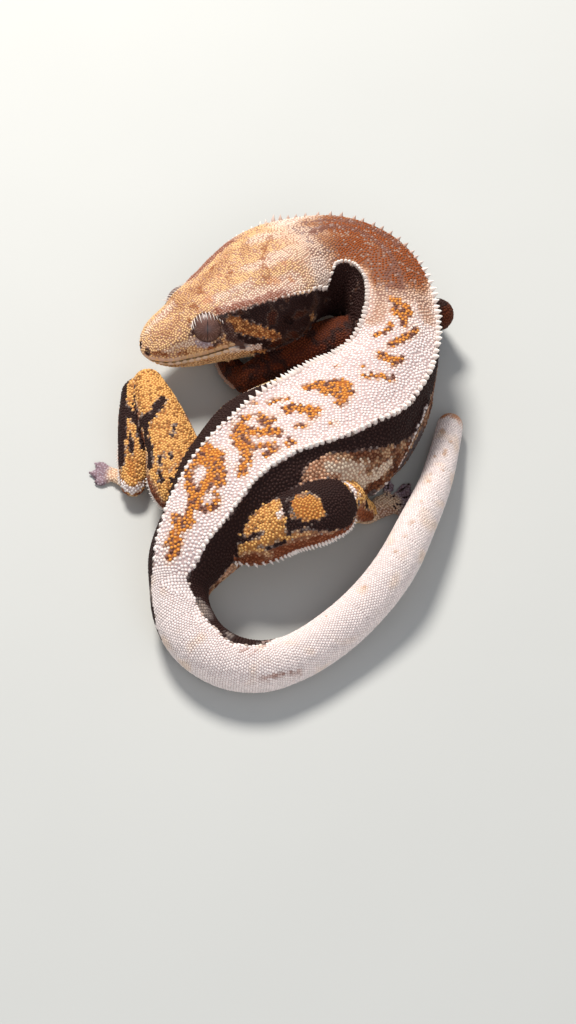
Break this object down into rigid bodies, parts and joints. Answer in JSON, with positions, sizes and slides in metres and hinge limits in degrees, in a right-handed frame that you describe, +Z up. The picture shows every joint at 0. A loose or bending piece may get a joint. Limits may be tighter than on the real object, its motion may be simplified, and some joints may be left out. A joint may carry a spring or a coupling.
{
  "type": "crested gecko",
  "caption": "Still life-size crested gecko, curled on the floor with its head turned back and its blunt tail swept round; for display.",
  "frame": {"origin": "middle of the base of the whole model's box, on the floor that it lies on", "axes": "+Z up; the head points towards -X and a little towards -Y, and the tail's curve lies towards -Y"},
  "size_m": [0.0618, 0.0906, 0.0193],
  "materials": {
    "body_skin": "painted cast resin skin, matt, with fine grains",
    "head_skin": "painted cast resin skin, matt, with fine grains",
    "leg_skin": "painted cast resin skin, matt, with fine grains",
    "eye": "glossy ball with a painted iris"
  },
  "bodies": {
    "root": {"head": "head_skin", "eye_left": "eye", "eye_right": "eye", "neck": "head_skin", "shoulders": "body_skin", "torso_front": "body_skin", "torso_middle": "body_skin", "torso_rear": "body_skin", "tail_base": "body_skin", "tail_1": "body_skin", "tail_2": "body_skin", "tail_3": "body_skin", "tail_4": "body_skin", "tail_tip": "body_skin", "fore_left_upper": "leg_skin", "fore_left_lower": "leg_skin", "fore_left_foot": "leg_skin", "fore_right_upper": "leg_skin", "fore_right_lower": "leg_skin", "fore_right_foot": "leg_skin", "hind_left_thigh": "leg_skin", "hind_left_shank": "leg_skin", "hind_left_foot": "leg_skin", "hind_right_thigh": "leg_skin", "hind_right_shank": "leg_skin", "hind_right_foot": "leg_skin"}
  },
  "joints": []
}
